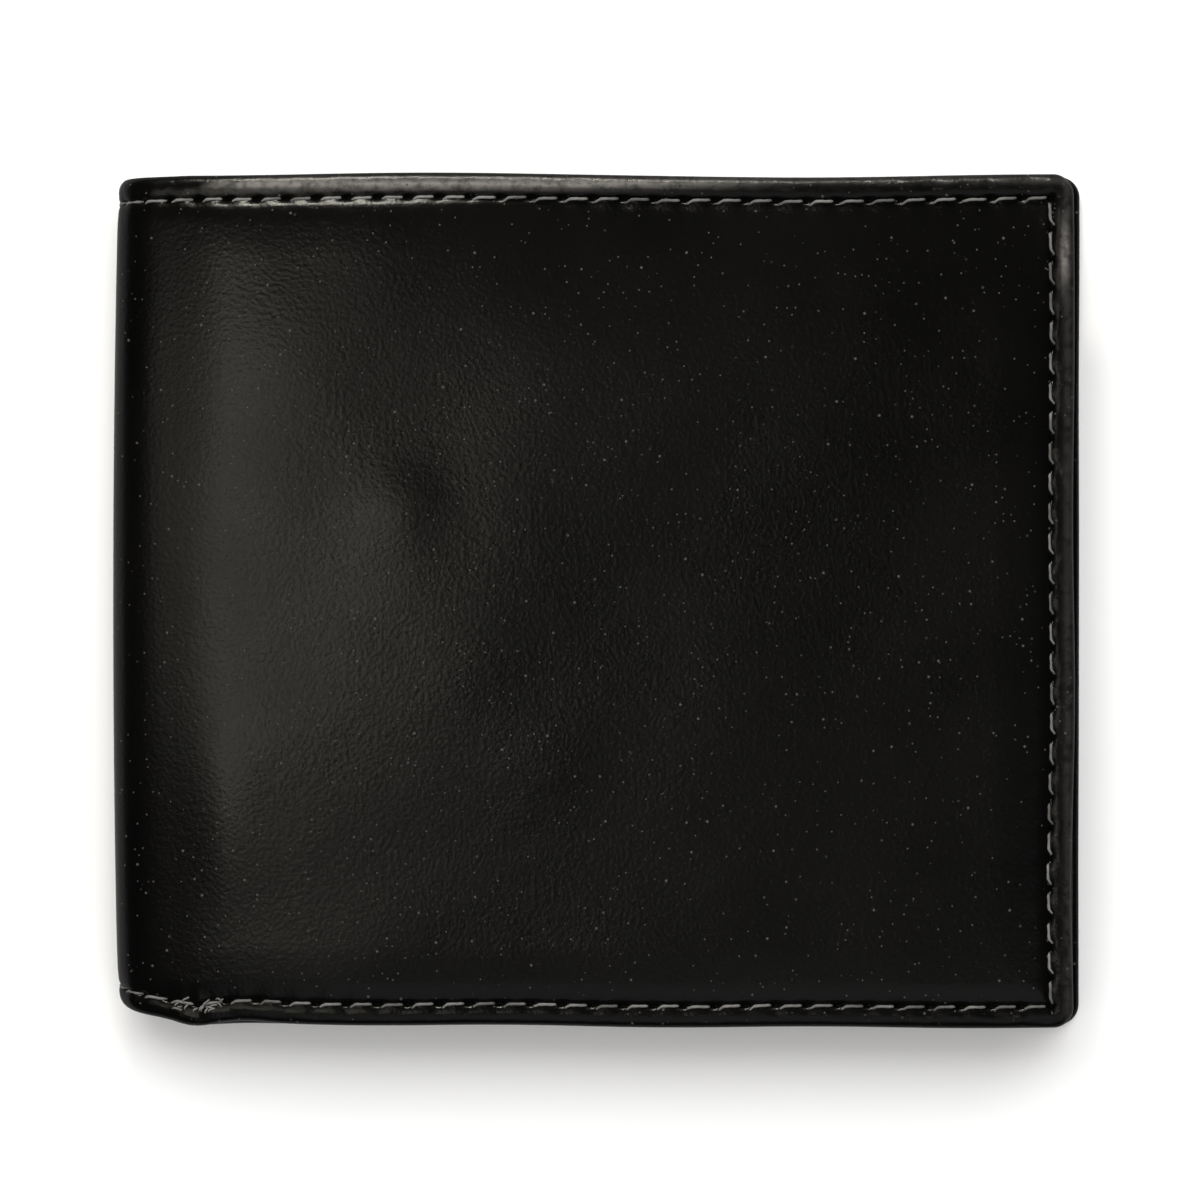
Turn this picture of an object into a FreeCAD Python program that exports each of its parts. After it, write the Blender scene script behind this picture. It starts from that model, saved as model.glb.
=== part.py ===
"""Bifold wallet, lying closed on its back cover.

X is the width, with the fold at -X and the open edge at +X. Y is the height, with the mouth of
the bill compartment at +Y. Z is up. The origin is the middle of the footprint, on the surface
that the wallet lies on. Lengths are in millimetres and angles in degrees.
"""
import FreeCAD
import Part
import Sketcher
import math
import os

DIMENSIONS = {
    "width": 108.0,         # closed, from the fold to the open edge
    "height": 95.0,         # along the fold
    "thick": 14.0,          # closed, over both covers
    "front_step": 1.0,      # the front leaf ends this much short of the back one
    "corner": 2.3,          # radius of the covers' outer corners
    "hide": 1.0,            # cover leather
    "lip": 0.95,            # leather turned in along the cover's edges
    "lip_width": 7.0,
    "board": 0.2,           # stiffener glued to the cover
    "cloth": 0.15,          # lining cloth
    "inner_hide": 0.4,      # leather of the inner panels
    "slip_gap": 0.75,       # room in the pocket behind the card slots
    "card_gap": 0.78,       # room in a card slot
    "panel_inset": 1.0,     # inner panels end this far inside the cover's edge
    "spine_gap": 0.5,       # card panels start this far from the middle of the fold
    "wall_drop": 3.0,       # the bill wall ends this far below the cover's top edge
    "band_drop": 2.5,       # the card panel ends this far below the bill wall
    "seam_width": 3.5,      # sewn strip along the edges of the inner panels
    "slot_depth": 44.0,
    "slot_step": 12.0,      # from one slot's mouth to the next
    "fold_step": 45.0,      # arc of one fold strip
    "fold_play": 0.8,       # angle left free between two fold strips
    "seam_inset": 2.6,      # from the cover's edge to its row of stitches
    "channel": 0.7,         # width of the channel that the stitches lie in
    "channel_depth": 0.55,
    "thread": 0.5,
    "stitch_pitch": 3.4,
    "stitch": 2.5,          # length of one stitch
}

SAME_PLACE = 0.01           # points nearer than this are taken as one
SLOTS = ("top", "middle", "lower")
FOLD_STRIPS = ("lower", "middle", "upper")

RADIUS = "(Sheet.thick / 2)"
CENTRE_X = "(Sheet.thick / 2 - Sheet.width / 2)"
EDGE = {
    "back": "(Sheet.width / 2)",
    "front": "(Sheet.width / 2 - Sheet.front_step)",
}
TOP = "(Sheet.height / 2)"
WALL_TOP = "(Sheet.height / 2 - Sheet.wall_drop)"
BAND_TOP = f"({WALL_TOP} - Sheet.band_drop)"
PANEL_FOOT = "(Sheet.panel_inset - Sheet.height / 2)"
SEAM_TOP = f"({PANEL_FOOT} + Sheet.seam_width)"
SPINE_END = f"({CENTRE_X} + Sheet.spine_gap)"
LIP_END = "(Sheet.height / 2 - Sheet.lip_width)"

# Depths below the outer surface of the cover, from one layer to the next.
LIP_DEPTH = "(Sheet.hide + Sheet.lip)"
BOARD_DEPTH = "(Sheet.hide + Sheet.board)"
LINING_DEPTH = f"({BOARD_DEPTH} + Sheet.cloth)"
WALL_DEPTH = f"({LIP_DEPTH} + Sheet.inner_hide)"
SLIP_DEPTH = f"({WALL_DEPTH} + Sheet.slip_gap)"
BASE_DEPTH = f"({SLIP_DEPTH} + Sheet.cloth)"

doc = FreeCAD.newDocument("bifold_wallet")
sheet = doc.addObject("Spreadsheet::Sheet", "Sheet")
for row, (alias, number) in enumerate(DIMENSIONS.items(), 1):
    sheet.set(f"A{row}", alias)
    sheet.set(f"B{row}", str(number))
    sheet.setAlias(f"B{row}", alias)
doc.recompute()

sub_parts = []


def value(expression):
    """Number that an expression on the sheet gives now."""
    return float(sheet.evalExpression(expression))


def facing_depth(slot):
    """Depth of the underside of a slot's facing; the top slot is the deepest."""
    number = SLOTS.index(slot)
    return f"({BASE_DEPTH} + {number + 1} * Sheet.card_gap + {number} * Sheet.inner_hide)"


def mouth(slot):
    """Height of a slot's mouth."""
    steps = len(SLOTS) - 1 - SLOTS.index(slot)
    return f"({SEAM_TOP} + Sheet.slot_depth + {steps} * Sheet.slot_step)"


def level(leaf, depth):
    """Z of a depth below the outer surface of a leaf's cover."""
    return depth if leaf == "back" else f"(Sheet.thick - {depth})"


def keep(item, label):
    """Names an object and puts it on the list of sub-parts."""
    item.Label = label
    sub_parts.append(item)
    return item


def plate(label, leaf, across, along, depths):
    """Flat piece of a leaf, between two expressions on each axis."""
    heights = [level(leaf, depth) for depth in depths]
    if leaf == "front":
        heights.reverse()
    box = doc.addObject("Part::Box", label)
    for size, place, (low, high) in (
        ("Length", "x", across),
        ("Width", "y", along),
        ("Height", "z", heights),
    ):
        box.setExpression(size, f"{high} - {low}")
        box.setExpression(f"Placement.Base.{place}", low)
    return keep(box, label)


def on_plane(body, name, role):
    """New sketch on one of the body's own planes."""
    sketch = body.newObject("Sketcher::SketchObject", name)
    plane = next(item for item in body.Origin.OriginFeatures if item.Role == role)
    sketch.AttachmentSupport = (plane, [""])
    sketch.MapMode = "FlatFace"
    return sketch


def outline(sketch, corners, bends=None):
    """Closed outline through the corners; bends are the sides bent round the fold's middle."""
    bends = bends or {}
    centre = FreeCAD.Vector(value(CENTRE_X), value(RADIUS), 0)
    normal = FreeCAD.Vector(0, 0, 1)
    points = [FreeCAD.Vector(value(first), value(second), 0) for first, second in corners]
    first_end = []
    for side, start in enumerate(points):
        end = points[(side + 1) % len(points)]
        if side not in bends:
            sketch.addGeometry(Part.LineSegment(start, end))
            first_end.append(1)
            continue
        circle = Part.Circle(centre, normal, value(bends[side]))
        angles = [math.atan2(point.y - centre.y, point.x - centre.x) % math.tau for point in (start, end)]
        sketch.addGeometry(Part.ArcOfCircle(circle, min(angles), max(angles)))
        first_end.append(1 if angles[0] < angles[1] else 2)
    for side, corner in enumerate(corners):
        following = (side + 1) % len(corners)
        sketch.addConstraint(Sketcher.Constraint(
            "Coincident", side, 3 - first_end[side], following, first_end[following]))
        for kind, expression in zip(("DistanceX", "DistanceY"), corner):
            index = sketch.addConstraint(Sketcher.Constraint(
                kind, -1, 1, side, first_end[side], value(expression)))
            sketch.setExpression(f"Constraints[{index}]", expression)
    for side, expression in bends.items():
        index = sketch.addConstraint(Sketcher.Constraint("Radius", side, value(expression)))
        sketch.setExpression(f"Constraints[{index}]", expression)


def on_arc(depth, angle):
    """Corner on the fold's arc; the angle runs from the back leaf, 0, to the front leaf, 180."""
    radius = f"({RADIUS} - {depth})"
    return f"({CENTRE_X} - {radius} * sin({angle}))", f"({RADIUS} - {radius} * cos({angle}))"


def leaf_section(sketch, leaf, outer, inner, reach):
    """Section of a leaf's layer: its share of the fold's arc and its flat run out to reach."""
    angle = "(Sheet.fold_step / 2 - Sheet.fold_play / 2)"
    if leaf == "front":
        angle = f"(180 - {angle})"
    corners = [
        on_arc(outer, angle),
        (CENTRE_X, level(leaf, outer)),
        (reach, level(leaf, outer)),
        (reach, level(leaf, inner)),
        (CENTRE_X, level(leaf, inner)),
        on_arc(inner, angle),
    ]
    outline(sketch, corners, {0: f"({RADIUS} - {outer})", 4: f"({RADIUS} - {inner})"})


def strip_section(sketch, strip, outer, inner):
    """Section of one strip of the fold: part of a ring."""
    number = FOLD_STRIPS.index(strip)
    start = f"(({number} + 0.5) * Sheet.fold_step + Sheet.fold_play / 2)"
    end = f"(({number} + 1.5) * Sheet.fold_step - Sheet.fold_play / 2)"
    corners = [on_arc(outer, start), on_arc(outer, end), on_arc(inner, end), on_arc(inner, start)]
    outline(sketch, corners, {0: f"({RADIUS} - {outer})", 2: f"({RADIUS} - {inner})"})


def extrude(body, sketch, kind, name, foot, head):
    """Pad or pocket of an XZ section, from foot to head along Y."""
    sketch.setExpression("AttachmentOffset.Base.z", f"-({foot} + {head}) / 2")
    feature = body.newObject(kind, name)
    feature.Profile = sketch
    feature.SideType = "Symmetric"
    feature.setExpression("Length", f"{head} - {foot}")
    return feature


def layer(label, place, outer, inner, foot, head, reach=None):
    """Layer that follows the fold: a leaf's own, out to reach, or one strip's where reach is None."""
    body = doc.addObject("PartDesign::Body", label)
    sketch = on_plane(body, f"{label}_section", "XZ_Plane")
    if reach:
        leaf_section(sketch, place, outer, inner, reach)
    else:
        strip_section(sketch, place, outer, inner)
    extrude(body, sketch, "PartDesign::Pad", f"{label}_pad", foot, head)
    return keep(body, label)


def hollow(body, place, edge=None):
    """Leaves the turned-in lip along the cover's edges and takes out what lies between."""
    volume = body.Shape.Volume
    sketch = on_plane(body, f"{body.Label}_hollow_section", "XZ_Plane")
    if edge:
        leaf_section(sketch, place, "Sheet.hide", LIP_DEPTH, f"({edge} - Sheet.lip_width)")
    else:
        strip_section(sketch, place, "Sheet.hide", LIP_DEPTH)
    extrude(body, sketch, "PartDesign::Pocket", f"{body.Label}_hollow", f"-{LIP_END}", LIP_END)
    doc.recompute()
    assert body.Shape.Volume < volume


def round_corners(body, edge):
    """Rounds the two outer corners of a cover."""
    names = []
    for number, line in enumerate(body.Shape.Edges, 1):
        ends = [vertex.Point for vertex in line.Vertexes]
        upright = len(ends) == 2 and abs(ends[0].z - ends[1].z) > value("Sheet.hide")
        if upright and all(abs(point.x - value(edge)) < SAME_PLACE for point in ends):
            names.append(f"Edge{number}")
    base = body.Tip
    fillet = body.newObject("PartDesign::Fillet", f"{body.Label}_corners")
    fillet.Base = (base, names)
    fillet.setExpression("Radius", "Sheet.corner")
    doc.recompute()


def seam_channel(body, leaf):
    """Channel along the cover's three free edges, in which the stitches lie flush."""
    volume = body.Shape.Volume
    sketch = on_plane(body, f"{body.Label}_channel_outline", "XY_Plane")
    sketch.setExpression("AttachmentOffset.Base.z", level(leaf, "0"))
    far = [f"({EDGE[leaf]} - Sheet.seam_inset {sign} Sheet.channel / 2)" for sign in "+-"]
    row = [f"({TOP} - Sheet.seam_inset {sign} Sheet.channel / 2)" for sign in "+-"]
    corners = [
        (CENTRE_X, row[0]), (far[0], row[0]), (far[0], f"-{row[0]}"), (CENTRE_X, f"-{row[0]}"),
        (CENTRE_X, f"-{row[1]}"), (far[1], f"-{row[1]}"), (far[1], row[1]), (CENTRE_X, row[1]),
    ]
    outline(sketch, corners)
    pocket = body.newObject("PartDesign::Pocket", f"{body.Label}_channel")
    pocket.Profile = sketch
    pocket.Reversed = leaf == "back"
    pocket.setExpression("Length", "Sheet.channel_depth")
    doc.recompute()
    assert body.Shape.Volume < volume


def cover(leaf):
    """Leather cover of a leaf, with its edges turned in."""
    body = layer(f"cover_{leaf}", leaf, "0", LIP_DEPTH, f"-{TOP}", TOP, EDGE[leaf])
    doc.recompute()
    round_corners(body, EDGE[leaf])
    hollow(body, leaf, EDGE[leaf])
    seam_channel(body, leaf)


def cover_strip(strip):
    """Strip of the cover's leather round the fold, with its two ends turned in."""
    body = layer(f"cover_fold_{strip}", strip, "0", LIP_DEPTH, f"-{TOP}", TOP)
    doc.recompute()
    hollow(body, strip)


def seam_stitches(leaf):
    """Stitches along the three free edges of a cover, as separate short lengths of thread."""
    pitch = value("Sheet.stitch_pitch")
    length = value("Sheet.stitch")
    radius = value("Sheet.thread / 2")
    far = value(f"{EDGE[leaf]} - Sheet.seam_inset")
    row = value(f"{TOP} - Sheet.seam_inset")
    height = value(level(leaf, "(Sheet.channel_depth - Sheet.thread / 2)"))
    along_x = FreeCAD.Vector(1, 0, 0)
    along_y = FreeCAD.Vector(0, 1, 0)
    stitches = []
    for start, end, direction, fixed in (
        (value(CENTRE_X), far, along_x, row),
        (value(CENTRE_X), far, along_x, -row),
        (-row, row, along_y, far),
    ):
        count = int((end - start) / pitch)
        first = start + (end - start - count * pitch + pitch - length) / 2
        for number in range(count):
            place = first + number * pitch
            if direction is along_x:
                foot = FreeCAD.Vector(place, fixed, height)
            else:
                foot = FreeCAD.Vector(fixed, place, height)
            stitches.append(Part.makeCylinder(radius, length, foot, direction))
    group = doc.addObject("Part::Feature", f"stitches_{leaf}")
    group.Shape = Part.makeCompound(stitches)
    keep(group, f"stitches_{leaf}")


def slot_edge(leaf, side, across):
    """Stepped edge that the slots' facings are sewn down to, at one end of the slots."""
    label = f"slot_edge_{side}_{leaf}"
    body = doc.addObject("PartDesign::Body", label)
    sketch = on_plane(body, f"{label}_steps", "YZ_Plane")
    floor = level(leaf, BASE_DEPTH)
    corners = [(PANEL_FOOT, floor)]
    foot = PANEL_FOOT
    for slot in reversed(SLOTS):
        corners += [(foot, level(leaf, facing_depth(slot))), (mouth(slot), level(leaf, facing_depth(slot)))]
        foot = mouth(slot)
    corners.append((mouth(SLOTS[0]), floor))
    outline(sketch, corners)
    sketch.setExpression("AttachmentOffset.Base.z", f"({across[0]} + {across[1]}) / 2")
    pad = body.newObject("PartDesign::Pad", f"{label}_pad")
    pad.Profile = sketch
    pad.SideType = "Symmetric"
    pad.setExpression("Length", f"{across[1]} - {across[0]}")
    keep(body, label)


def bill_compartment(leaf):
    """Stiffener and lining inside a cover, and the wall that closes the bill compartment."""
    reach = f"({EDGE[leaf]} - Sheet.lip_width)"
    board_depths = ("Sheet.hide", BOARD_DEPTH)
    plate(f"stiffener_{leaf}", leaf, (CENTRE_X, reach), (f"-{LIP_END}", LIP_END), board_depths)
    layer(f"lining_{leaf}", leaf, BOARD_DEPTH, LINING_DEPTH, f"-{LIP_END}", LIP_END, reach)
    wall_end = f"({EDGE[leaf]} - Sheet.panel_inset)"
    layer(f"bill_wall_{leaf}", leaf, LIP_DEPTH, WALL_DEPTH, PANEL_FOOT, WALL_TOP, wall_end)


def slip_pocket(leaf, end):
    """Sewn edges of the pocket behind the card slots, which opens at the fold."""
    depths = (WALL_DEPTH, SLIP_DEPTH)
    seam = f"({end} - Sheet.seam_width)"
    head = f"({BAND_TOP} - Sheet.seam_width)"
    plate(f"slip_edge_lower_{leaf}", leaf, (SPINE_END, end), (PANEL_FOOT, SEAM_TOP), depths)
    plate(f"slip_edge_upper_{leaf}", leaf, (SPINE_END, end), (head, BAND_TOP), depths)
    plate(f"slip_edge_side_{leaf}", leaf, (seam, end), (SEAM_TOP, head), depths)


def card_panel(leaf, end):
    """Backing, top band, sewn edges, facings and pocket cloths of the three card slots."""
    across = (SPINE_END, end)
    between = (f"({SPINE_END} + Sheet.seam_width)", f"({end} - Sheet.seam_width)")
    band_depth = f"({SLIP_DEPTH} + Sheet.inner_hide)"
    plate(f"slot_backing_{leaf}", leaf, across, (PANEL_FOOT, mouth("top")), (SLIP_DEPTH, BASE_DEPTH))
    plate(f"top_band_{leaf}", leaf, across, (mouth("top"), BAND_TOP), (SLIP_DEPTH, band_depth))
    slot_edge(leaf, "inner", (SPINE_END, between[0]))
    slot_edge(leaf, "outer", (between[1], end))
    foot_depths = (BASE_DEPTH, facing_depth("lower"))
    plate(f"slot_edge_foot_{leaf}", leaf, between, (PANEL_FOOT, SEAM_TOP), foot_depths)
    for slot, below in zip(SLOTS, SLOTS[1:] + (None,)):
        depth = facing_depth(slot)
        foot = mouth(below) if below else PANEL_FOOT
        facing_depths = (depth, f"({depth} + Sheet.inner_hide)")
        plate(f"card_facing_{slot}_{leaf}", leaf, across, (foot, mouth(slot)), facing_depths)
        if below:
            bottom = f"({mouth(slot)} - Sheet.slot_depth)"
            cloth_depths = (depth, f"({depth} + Sheet.cloth)")
            plate(f"pocket_cloth_{slot}_{leaf}", leaf, between, (bottom, foot), cloth_depths)


def leaf_parts(leaf):
    """One leaf of the wallet, from its cover inwards."""
    end = f"({EDGE[leaf]} - Sheet.panel_inset)"
    cover(leaf)
    seam_stitches(leaf)
    bill_compartment(leaf)
    slip_pocket(leaf, end)
    card_panel(leaf, end)


def fold_parts(strip):
    """One strip of the fold: cover, lining and bill wall."""
    cover_strip(strip)
    layer(f"lining_fold_{strip}", strip, "Sheet.hide", LINING_DEPTH, f"-{LIP_END}", LIP_END)
    layer(f"bill_wall_fold_{strip}", strip, LIP_DEPTH, WALL_DEPTH, PANEL_FOOT, WALL_TOP)


for leaf_name in EDGE:
    leaf_parts(leaf_name)
for strip_name in FOLD_STRIPS:
    fold_parts(strip_name)
doc.recompute()

for item in doc.Objects:
    if {"Invalid", "Error"} & set(item.State):
        raise RuntimeError(f"{item.Label} failed to compute")
for item in sub_parts:
    if item.Shape.isNull() or not item.Shape.isValid():
        raise RuntimeError(f"{item.Label} has no valid shape")

os.makedirs("parts", exist_ok=True)
for item in sub_parts:
    item.Shape.exportStep(f"parts/{item.Label}.step")
    box = item.Shape.BoundBox
    spans = (
        f"x {box.XMin:7.2f} {box.XMax:7.2f}",
        f"y {box.YMin:7.2f} {box.YMax:7.2f}",
        f"z {box.ZMin:6.2f} {box.ZMax:6.2f}",
    )
    print(f"{item.Label:28s} {item.Shape.Volume:9.1f} mm3", *spans, sep="  ")
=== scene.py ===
"""Looks of the bifold wallet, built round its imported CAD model.

Blender works in metres. Meshes here are worked out in millimetres and scaled when they are made.
A point of the wallet's wrapped layers is given by three numbers: run, the length along the
cover's outer surface from the middle of the fold (negative on the back leaf, positive on the
front one), rise, the height along the fold, and depth, how far below the outer surface it lies.
"""
import math

import bmesh
import bpy
import numpy as np
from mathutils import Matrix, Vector


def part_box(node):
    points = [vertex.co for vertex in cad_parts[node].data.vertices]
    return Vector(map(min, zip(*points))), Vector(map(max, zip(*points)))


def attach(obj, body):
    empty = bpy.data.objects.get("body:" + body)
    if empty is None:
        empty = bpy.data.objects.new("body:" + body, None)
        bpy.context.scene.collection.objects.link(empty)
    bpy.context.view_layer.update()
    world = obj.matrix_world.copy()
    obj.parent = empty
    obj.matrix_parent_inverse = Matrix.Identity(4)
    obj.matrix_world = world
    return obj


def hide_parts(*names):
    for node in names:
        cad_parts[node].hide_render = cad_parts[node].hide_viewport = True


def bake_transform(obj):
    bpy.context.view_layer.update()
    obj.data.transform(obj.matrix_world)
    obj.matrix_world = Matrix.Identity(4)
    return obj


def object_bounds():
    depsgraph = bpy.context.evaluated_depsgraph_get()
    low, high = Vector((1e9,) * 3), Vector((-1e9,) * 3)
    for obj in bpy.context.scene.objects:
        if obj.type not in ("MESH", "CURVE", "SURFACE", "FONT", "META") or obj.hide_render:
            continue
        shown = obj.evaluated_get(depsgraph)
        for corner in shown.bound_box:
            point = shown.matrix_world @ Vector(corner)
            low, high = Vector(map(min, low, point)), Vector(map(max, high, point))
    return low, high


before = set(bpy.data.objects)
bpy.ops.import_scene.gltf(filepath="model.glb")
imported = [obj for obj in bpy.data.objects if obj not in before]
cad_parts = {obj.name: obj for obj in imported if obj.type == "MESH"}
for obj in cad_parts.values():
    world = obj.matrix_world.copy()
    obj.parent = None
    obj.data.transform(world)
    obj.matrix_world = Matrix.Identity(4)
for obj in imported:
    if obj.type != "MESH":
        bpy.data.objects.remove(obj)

MM = 0.001
CAD_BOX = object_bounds()


def corner_mm(node, side):
    """One corner of a CAD node's box, in millimetres; side 0 is the lowest and 1 the highest."""
    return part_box(node)[side] / MM


# Sizes that follow from the frame. The depths count from the cover's outer surface inwards, and
# each is where one layer ends and the next starts.
BOX_LOW, BOX_HIGH = (corner / MM for corner in CAD_BOX)
THICK = BOX_HIGH.z - BOX_LOW.z
HALF = BOX_HIGH.y
RADIUS = THICK / 2
FOLD_X = BOX_LOW.x + RADIUS
QUARTER = math.pi * RADIUS / 4
FLAT = 2 * QUARTER
EDGE = {"back": corner_mm("cover_back", 1).x, "front": corner_mm("cover_front", 1).x}
HIDE = corner_mm("stiffener_back", 0).z
LIP_DEPTH = corner_mm("bill_wall_back", 0).z
WALL_DEPTH = corner_mm("slip_edge_side_back", 0).z
LINING_DEPTH = (corner_mm("lining_back", 0).z, corner_mm("lining_back", 0).z + 0.15)
PANEL_FOOT = corner_mm("bill_wall_back", 0).y
WALL_HEAD = corner_mm("bill_wall_back", 1).y
LINING_HALF = corner_mm("lining_back", 1).y
LIP_WIDTH = HALF - LINING_HALF
STACK_DEPTH = corner_mm("card_facing_lower_back", 1).z
LAYER_GAP = 0.03

# The front leaf lies lower near the fold, where its pockets are empty.
DIP = 1.6
DIP_LENGTH = 8.5

# The ends of the fold bow away from a straight line, and are drawn in at the foot.
FOLD_BOW = 0.6
FOLD_DRAWN_IN = {"foot": 2.9, "head": 0.7}

# The cover's turned edges: how wide they round over, and the radius of the corners.
BEAD = 1.6
CORNER = 2.3

# The seam along the cover's edges: its distances from them, the thread's radius and the holes.
SEAM = {"head": 2.8, "foot": 2.3, "side": 2.6}
THREAD = 0.155
STITCH_SINK = 0.3
PIT_SHIFT = 0.12
SEAM_RUN = {leaf: FLAT + EDGE[leaf] - FOLD_X - SEAM["side"] for leaf in EDGE}
PITCHES = round((SEAM_RUN["back"] + SEAM_RUN["front"]) / 3.4)
PITCH = (SEAM_RUN["back"] + SEAM_RUN["front"]) / PITCHES
SIDE_PITCHES = 27
SIDE_PITCH = (2 * HALF - SEAM["head"] - SEAM["foot"]) / SIDE_PITCHES
SEAM_FOOT = SEAM["foot"] - HALF
SEAM_HEAD = HALF - SEAM["head"]
TACK_RUN = FLAT - 44.8 - FOLD_X
TACK_STITCHES = 16

# Parts of a stitch's pitch at which the cover's grid has lines, along the rows and up the side.
ROW_PARTS = (-0.12, -0.05, 0.05, 0.12, 0.3, 0.5, 0.7)
SIDE_PARTS = (-0.12, -0.04, 0.04, 0.12, 0.36, 0.64)

# The inner seams: the bill wall's hem, and the row up each leaf beside the fold.
HEM_RISE = WALL_HEAD - 1.25
SPINE_SEAM = FLAT + 2.0
INNER_SINK = 0.12

# The four pieces of every layer that wraps the fold: where it is, its leaf and its first run.
WRAPPED = (
    ("back_leaf", "back", QUARTER),
    ("fold_under", "back", 0),
    ("fold_over", "front", 0),
    ("front_leaf", "front", QUARTER),
)

# Colours of the lights.
WARM = (1.0, 0.97, 0.84)
WHITE = (1.0, 1.0, 1.0)


# ---------------------------------------------------------------- numbers

def smooth(value, low, high):
    """0 below low, 1 above high, and a smooth step between them."""
    part = np.clip((value - low) / (high - low), 0, 1)
    return part * part * (3 - 2 * part)


def bell(value, width):
    """1 at 0, falling smoothly to nearly 0 within about twice the width."""
    return np.exp(-(value / width) ** 2)


def ripple(across, along, length, seed, waves=22):
    """Smooth random relief of about unit height, with waves of roughly the given length."""
    random = np.random.default_rng(seed)
    total = np.zeros(np.broadcast(across, along).shape)
    for _ in range(waves):
        angle = random.uniform(0, math.tau)
        number = math.tau / (length * random.uniform(0.7, 1.5))
        phase = random.uniform(0, math.tau)
        total += np.sin(number * (across * math.cos(angle) + along * math.sin(angle)) + phase)
    return total / math.sqrt(waves / 2)


def rounded(width, steps=7):
    """Distances from an edge that follow a round-over of the given width."""
    return [width * (1 - math.cos(math.pi / 2 * step / steps)) for step in range(steps + 1)]


def spaced(low, high, step):
    """Even steps from low to high, both included."""
    return list(np.linspace(low, high, max(2, int(round((high - low) / step)) + 1)))


def in_order(values, least=0.012):
    """Sorted values with those nearer than least to the one before left out, but both ends kept."""
    values = sorted(values)
    kept = [values[0]]
    for value in values[1:-1]:
        if value - kept[-1] >= least and values[-1] - value >= least:
            kept.append(value)
    return np.array(kept + [values[-1]])


# ---------------------------------------------------------------- places

def seam_holes(leaf):
    """Runs of the holes along a leaf's head and foot, between its corner and the fold's middle."""
    sign = 1 if leaf == "front" else -1
    first = -SEAM_RUN["back"]
    runs = [first + number * PITCH for number in range(PITCHES + 1)]
    return [sign * run for run in runs if sign * run > -PITCH]


def front_dip(run):
    """How far the front leaf's cover sinks towards the fold, where its pockets lie flat."""
    part = np.clip(run / FLAT, 0, 1)
    in_fold = part ** 2 * (3 - 2 * part) + FLAT / DIP_LENGTH * part ** 2 * (1 - part)
    return DIP * in_fold * np.exp(-np.maximum(run - FLAT, 0) / DIP_LENGTH)


def fold_place(run, rise, depth):
    """Positions of points on the layers that wrap round the fold."""
    angle = np.clip(run / RADIUS, -math.pi / 2, math.pi / 2) + math.pi / 2
    beyond = np.maximum(np.abs(run) - FLAT, 0)
    x = FOLD_X - (RADIUS - depth) * np.sin(angle) + beyond
    z = RADIUS - (RADIUS - depth) * np.cos(angle)
    near_fold = 1 - smooth(np.abs(run), FLAT, FLAT + 16)
    x = x + FOLD_BOW * (rise / HALF) ** 2 * near_fold
    z = z - front_dip(run) * np.clip((STACK_DEPTH - depth) / (STACK_DEPTH - LIP_DEPTH), 0, 1)
    fold_end = np.clip(1 - np.abs(run) / (1.1 * FLAT), 0, 1) ** 1.3
    drawn_in = FOLD_DRAWN_IN["foot"] * smooth(-rise, HALF - 14, HALF)
    drawn_in = drawn_in - FOLD_DRAWN_IN["head"] * smooth(rise, HALF - 14, HALF)
    return np.stack([x, rise + fold_end * drawn_in + 0 * x, z], axis=-1)


def leaf_place(leaf):
    """Placing function of a leaf's flat pieces, whose run is x itself."""
    def place(run, rise, depth):
        if leaf == "back":
            z = depth
        else:
            share = np.clip((STACK_DEPTH - depth) / (STACK_DEPTH - LIP_DEPTH), 0, 1)
            z = THICK - depth - front_dip(run - FOLD_X + FLAT) * share
        return np.stack([run + 0 * depth, rise + 0 * depth, z], axis=-1)
    return place


# ---------------------------------------------------------------- meshes

def new_object(name, points, faces, material, sharp=50):
    """Mesh object with smooth faces, from points in millimetres."""
    mesh = bpy.data.meshes.new(name)
    mesh.from_pydata((np.asarray(points).reshape(-1, 3) * MM).tolist(), [], faces)
    work = bmesh.new()
    work.from_mesh(mesh)
    bmesh.ops.remove_doubles(work, verts=work.verts, dist=2e-7)
    bmesh.ops.recalc_face_normals(work, faces=work.faces)
    work.to_mesh(mesh)
    work.free()
    mesh.polygons.foreach_set("use_smooth", [True] * len(mesh.polygons))
    mesh.set_sharp_from_angle(angle=math.radians(sharp))
    mesh.materials.append(material)
    piece = bpy.data.objects.new(name, mesh)
    bpy.context.scene.collection.objects.link(piece)
    return piece


def grid_faces(rows, columns, start=0):
    """Quads between the points of a grid."""
    first = (np.arange(rows - 1)[:, None] * columns + np.arange(columns - 1)[None, :]).ravel() + start
    return np.stack([first, first + 1, first + columns + 1, first + columns], axis=1)


def sheet_mesh(run, rise, outer, inner, place, start=0):
    """Points and faces of a closed sheet between two depths over one grid of runs and rises."""
    rows, columns = outer.shape
    count = rows * columns
    points = np.concatenate([place(run, rise, depth).reshape(-1, 3) for depth in (outer, inner)])
    index = np.arange(count).reshape(rows, columns) + start
    border = np.concatenate([index[0, :], index[1:, -1], index[-1, -2::-1], index[-2:0:-1, 0]])
    following = np.roll(border, -1)
    rim = np.stack([border, following, following + count, border + count], axis=1)
    grids = [grid_faces(rows, columns, start), grid_faces(rows, columns, start + count)]
    return points, np.concatenate(grids + [rim])


def closed_sheet(name, run, rise, outer, inner, place, material):
    """One closed sheet as an object of its own."""
    points, faces = sheet_mesh(run, rise, outer, inner, place)
    return new_object(name, points, faces.tolist(), material)


def round_over(distance, width, height):
    """How far a surface drops towards an edge that is rolled over."""
    part = np.clip(1 - distance / width, 0, 1)
    return height * (1 - np.sqrt(np.maximum(1 - part * part, 0)))


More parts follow.
